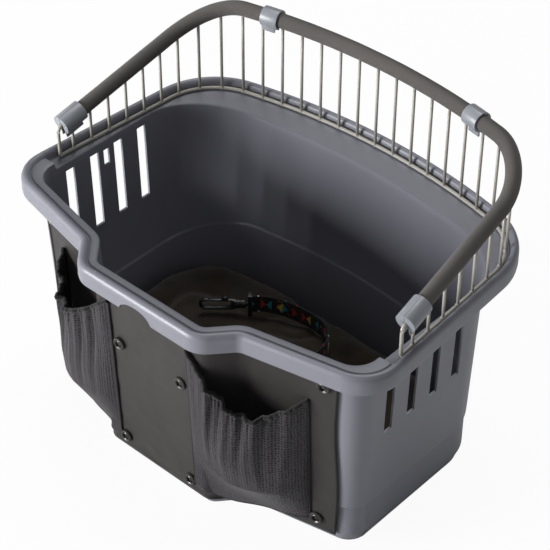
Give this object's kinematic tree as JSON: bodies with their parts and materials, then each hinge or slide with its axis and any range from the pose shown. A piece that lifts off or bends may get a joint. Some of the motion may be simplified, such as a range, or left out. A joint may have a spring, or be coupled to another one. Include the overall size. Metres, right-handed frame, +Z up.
{
  "type": "cargo basket",
  "caption": "Open moulded basket with a raised wire guard, foam grip, buttoned fabric front with mesh pockets, cushion and a tether with a swivel snap hook.",
  "frame": {"origin": "on the ground, under the middle of the rim", "axes": "+Z up, +Y towards the high back of the guard, +X to the right seen from the front fabric"},
  "size_m": [0.4962, 0.3739, 0.368],
  "materials": {
    "tub_plastic": "fine moulded satin",
    "coated_wire": "matt powder coat",
    "foam": "matt closed-cell foam",
    "clip_plastic": "satin moulded",
    "coated_fabric": "coated weave",
    "mesh_fabric": "open knitted mesh",
    "elastic": "bound elastic",
    "snap_metal": "gunmetal",
    "snap_cap": "black cap",
    "fleece": "deep fleece",
    "black_plastic": "satin moulded",
    "webbing": "woven webbing"
  },
  "bodies": {
    "basket": {"tub": "tub_plastic", "guard_lower_wire": "coated_wire", "guard_top_wire": "coated_wire", "uprights_left": "coated_wire", "uprights_back": "coated_wire", "uprights_right": "coated_wire", "foam_grip": "foam", "end_clip_left": "clip_plastic", "end_clip_right": "clip_plastic", "grip_clip_left": "clip_plastic", "grip_clip_right": "clip_plastic", "front_panel": "coated_fabric", "pocket_left": "mesh_fabric", "pocket_right": "mesh_fabric", "pocket_elastic_left": "elastic", "pocket_elastic_right": "elastic", "snap_studs": "snap_metal", "snap_caps": "snap_cap", "cushion": "fleece", "leash_anchor": "black_plastic", "leash_strap": "webbing", "swivel_eye": "black_plastic"},
    "end_clip_left_door": {"end_clip_left_door": "clip_plastic"},
    "end_clip_right_door": {"end_clip_right_door": "clip_plastic"},
    "grip_clip_left_door": {"grip_clip_left_door": "clip_plastic"},
    "grip_clip_right_door": {"grip_clip_right_door": "clip_plastic"},
    "hook": {"hook_body": "black_plastic"},
    "gate": {"hook_gate": "black_plastic"}
  },
  "joints": [
    {"name": "end_clip_left_hinge", "type": "hinge", "parent": "basket", "child": "end_clip_left_door", "pos_m": [-0.23239, -0.05225, 0.30109], "axis": [0.0589, 0.9636, 0.2607], "range_deg": [-105, 0]},
    {"name": "end_clip_right_hinge", "type": "hinge", "parent": "basket", "child": "end_clip_right_door", "pos_m": [0.23239, -0.05225, 0.30109], "axis": [0.0589, -0.9636, -0.2607], "range_deg": [-105, 0]},
    {"name": "grip_clip_left_hinge", "type": "hinge", "parent": "basket", "child": "grip_clip_left_door", "pos_m": [-0.13665, 0.16007, 0.368], "axis": [0.9816, 0.1911, 0], "range_deg": [-105, 0]},
    {"name": "grip_clip_right_hinge", "type": "hinge", "parent": "basket", "child": "grip_clip_right_door", "pos_m": [0.13665, 0.16007, 0.368], "axis": [0.9816, -0.1911, 0], "range_deg": [-105, 0]},
    {"name": "hook_swivel", "type": "hinge", "parent": "basket", "child": "hook", "pos_m": [-0.066, 0.04225, 0.0708], "axis": [-0.7431, -0.6691, 0], "continuous": true},
    {"name": "gate_hinge", "type": "hinge", "parent": "hook", "child": "gate", "pos_m": [-0.07715, 0.03221, 0.0753], "axis": [0.6691, -0.7431, 0], "range_deg": [0, 10], "stiffness_Nm_per_rad": 0.03, "springref_deg": -8.59}
  ]
}
